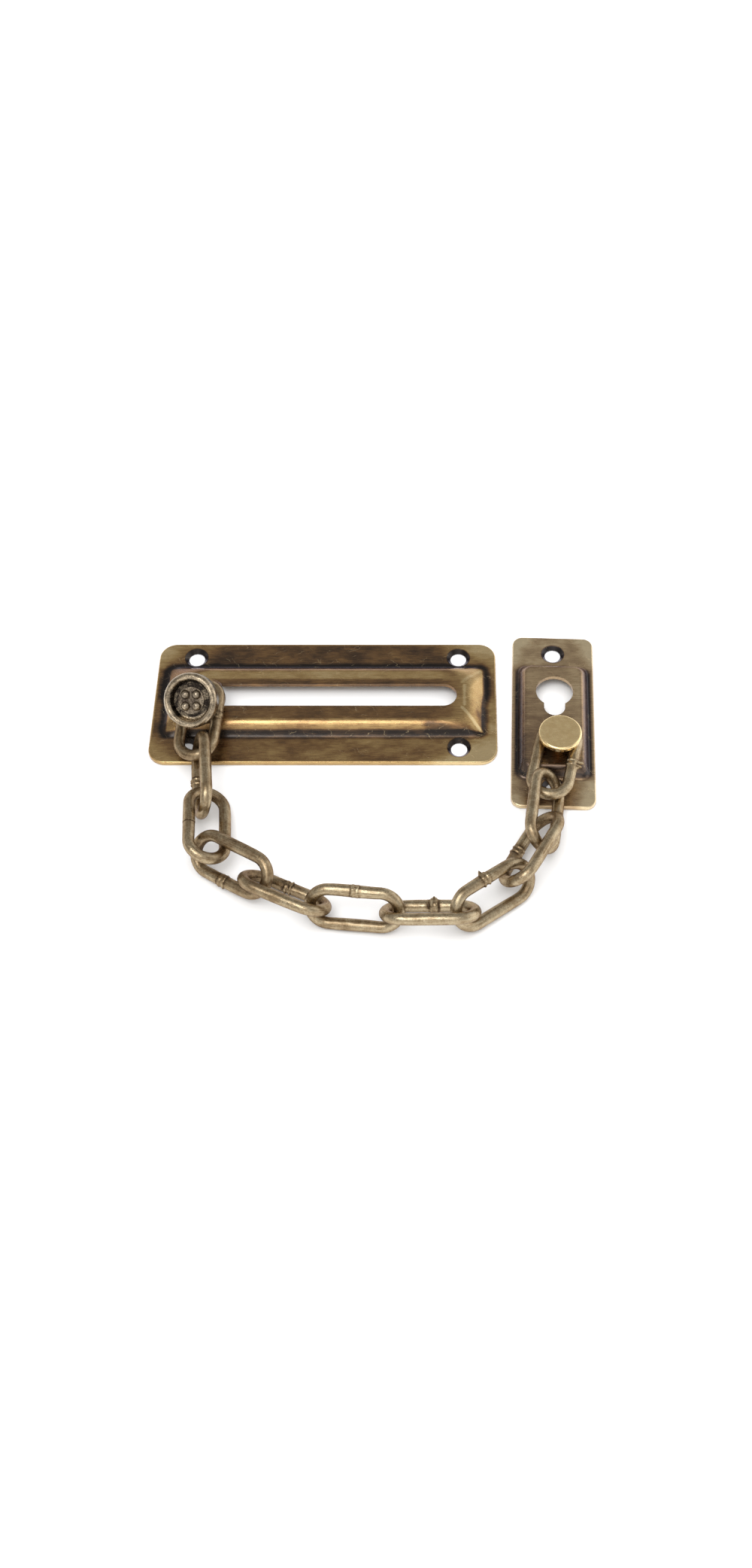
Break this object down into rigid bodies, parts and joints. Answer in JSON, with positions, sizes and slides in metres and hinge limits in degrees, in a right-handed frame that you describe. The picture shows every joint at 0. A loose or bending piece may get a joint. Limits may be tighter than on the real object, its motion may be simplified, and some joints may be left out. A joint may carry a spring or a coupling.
{
  "type": "door chain guard",
  "caption": "Surface-mounted door chain guard: a slotted track plate with a sliding button, a welded link chain, and a narrow frame plate with a parking keyhole and a fixed stud.",
  "frame": {"origin": "centre of the track plate's back face, midway between its screw holes", "axes": "+X along the slot away from the entry hole, +Z out of the door face, -Y towards the side the chain lies on"},
  "size_m": [0.1292, 0.1043, 0.0215],
  "materials": {
    "plated_sheet": "antique brass plate, brushed bright on the raised boss and dark in the low areas",
    "chain_wire": "bronze-plated welded wire, satin with dark creases",
    "stud_metal": "bright satin brass",
    "button_shell": "dark nickel-bronze plate with a polished rim",
    "button_shank": "nickel-bronze plate, staked end worn brighter"
  },
  "bodies": {
    "track": {"track_plate": "plated_sheet"},
    "button": {"button_rivet": "button_shank", "button_cap": "button_shell"},
    "link_01": {"link_01": "chain_wire"},
    "link_02": {"link_02": "chain_wire"},
    "link_03": {"link_03": "chain_wire"},
    "link_04": {"link_04": "chain_wire"},
    "link_05": {"link_05": "chain_wire"},
    "link_06": {"link_06": "chain_wire"},
    "link_07": {"link_07": "chain_wire"},
    "link_08": {"link_08": "chain_wire"},
    "link_09": {"link_09": "chain_wire"},
    "link_10": {"link_10": "chain_wire"},
    "link_11": {"link_11": "chain_wire"},
    "frame": {"frame_plate": "plated_sheet", "frame_stud": "stud_metal"}
  },
  "joints": [
    {"name": "button_slide", "type": "slide", "parent": "track", "child": "button", "axis": [1, 0, 0], "range_m": [0, 0.066]},
    {"name": "link_01_swing", "type": "hinge", "parent": "button", "child": "link_01", "pos_m": [-0.03448, -0.00424, 0.00783], "axis": [-0.1899, -0.0555, 0.9802], "range_deg": [0, 64]},
    {"name": "link_02_swing", "type": "hinge", "parent": "link_01", "child": "link_02", "pos_m": [-0.0356, -0.02321, 0.00654], "axis": [0.9809, -0.0532, 0.187], "range_deg": [-4, 22]},
    {"name": "link_03_swing", "type": "hinge", "parent": "link_02", "child": "link_03", "pos_m": [-0.03145, -0.04226, 0.0067], "axis": [0.3185, -0.007, 0.9479], "range_deg": [-48, 16]},
    {"name": "link_04_swing", "type": "hinge", "parent": "link_03", "child": "link_04", "pos_m": [-0.02901, -0.05857, 0.00836], "axis": [0.9124, 0.0233, -0.4086], "range_deg": [-4, 44]},
    {"name": "link_05_swing", "type": "hinge", "parent": "link_04", "child": "link_05", "pos_m": [-0.01872, -0.06263, 0.00546], "axis": [0.3108, 0.6607, -0.6833], "range_deg": [-60, 60]},
    {"name": "link_06_swing", "type": "hinge", "parent": "link_05", "child": "link_06", "pos_m": [-0.00088, -0.07165, 0.00607], "axis": [0.0355, 0.4837, 0.8745], "range_deg": [-38, 4]},
    {"name": "link_07_swing", "type": "hinge", "parent": "link_06", "child": "link_07", "pos_m": [0.01897, -0.07377, 0.0054], "axis": [0.0483, 0.7653, -0.6419], "range_deg": [-48, 38]},
    {"name": "link_08_swing", "type": "hinge", "parent": "link_07", "child": "link_08", "pos_m": [0.04283, -0.07423, 0.00665], "axis": [0.0483, 0.7653, -0.6419], "range_deg": [-2, 42]},
    {"name": "link_09_swing", "type": "hinge", "parent": "link_08", "child": "link_09", "pos_m": [0.05243, -0.06546, 0.00764], "axis": [-0.6395, 0.3351, -0.692], "range_deg": [-60, 60]},
    {"name": "link_10_swing", "type": "hinge", "parent": "link_09", "child": "link_10", "pos_m": [0.06397, -0.04454, 0.0071], "axis": [-0.6395, 0.3351, -0.692], "range_deg": [-68, 50]},
    {"name": "link_11_swing", "type": "hinge", "parent": "link_10", "child": "link_11", "pos_m": [0.06647, -0.03377, 0.00353], "axis": [0, 0, 1], "range_deg": [-12, 4]},
    {"name": "frame_swing", "type": "hinge", "parent": "link_11", "child": "frame", "pos_m": [0.06741, -0.01765, 0], "axis": [0, 0, 1], "range_deg": [-33, 6]}
  ]
}
